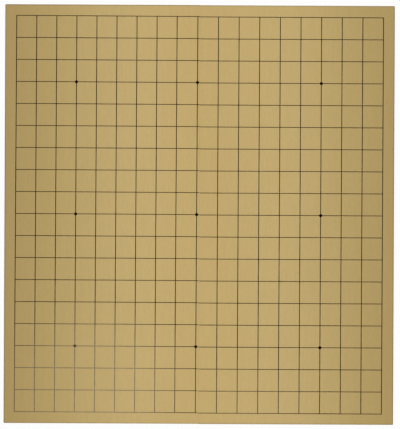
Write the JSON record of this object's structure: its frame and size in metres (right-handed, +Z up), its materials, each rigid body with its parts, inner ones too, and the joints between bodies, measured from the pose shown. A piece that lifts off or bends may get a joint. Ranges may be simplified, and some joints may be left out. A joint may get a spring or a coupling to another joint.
{
  "type": "folding go board",
  "caption": "Folding go board: veneered halves with a printed grid and star points, joined under the seam by butt hinges and standing on small rubber feet.",
  "frame": {"origin": "on the table, under the middle of the seam, at the centre of the box round the whole board", "axes": "+X right across the columns, +Y along the seam towards the far side, +Z up out of the playing face"},
  "size_m": [0.422, 0.4538, 0.0186],
  "materials": {
    "face_veneer": "plain pale veneer, satin lacquer",
    "back_veneer": "plain pale veneer, satin lacquer",
    "edging": "solid light wood, satin lacquer",
    "core_board": "raw fibreboard",
    "black_ink": "printed ink film",
    "hinge_brass": "pressed brass, lightly worn",
    "screw_brass": "turned brass, slotted heads",
    "rubber_feet": "moulded rubber"
  },
  "bodies": {
    "left_half": {"left_core": "core_board", "left_face_veneer": "face_veneer", "left_back_veneer": "back_veneer", "left_printed_grid": "black_ink", "left_outer_edging": "edging", "left_seam_edging": "edging", "left_far_edging": "edging", "left_near_edging": "edging", "left_far_foot": "rubber_feet", "left_near_foot": "rubber_feet", "far_hinge_left_leaf": "hinge_brass", "far_hinge_left_screws": "screw_brass", "far_hinge_pin": "hinge_brass", "near_hinge_left_leaf": "hinge_brass", "near_hinge_left_screws": "screw_brass", "near_hinge_pin": "hinge_brass"},
    "right_half": {"right_core": "core_board", "right_face_veneer": "face_veneer", "right_back_veneer": "back_veneer", "right_printed_grid": "black_ink", "right_outer_edging": "edging", "right_seam_edging": "edging", "right_far_edging": "edging", "right_near_edging": "edging", "right_far_foot": "rubber_feet", "right_near_foot": "rubber_feet", "far_hinge_right_leaf": "hinge_brass", "far_hinge_right_screws": "screw_brass", "near_hinge_right_leaf": "hinge_brass", "near_hinge_right_screws": "screw_brass"}
  },
  "joints": [
    {"name": "fold", "type": "hinge", "parent": "left_half", "child": "right_half", "pos_m": [0, 0, 0.003], "axis": [0, 1, 0], "range_deg": [0, 178]}
  ]
}
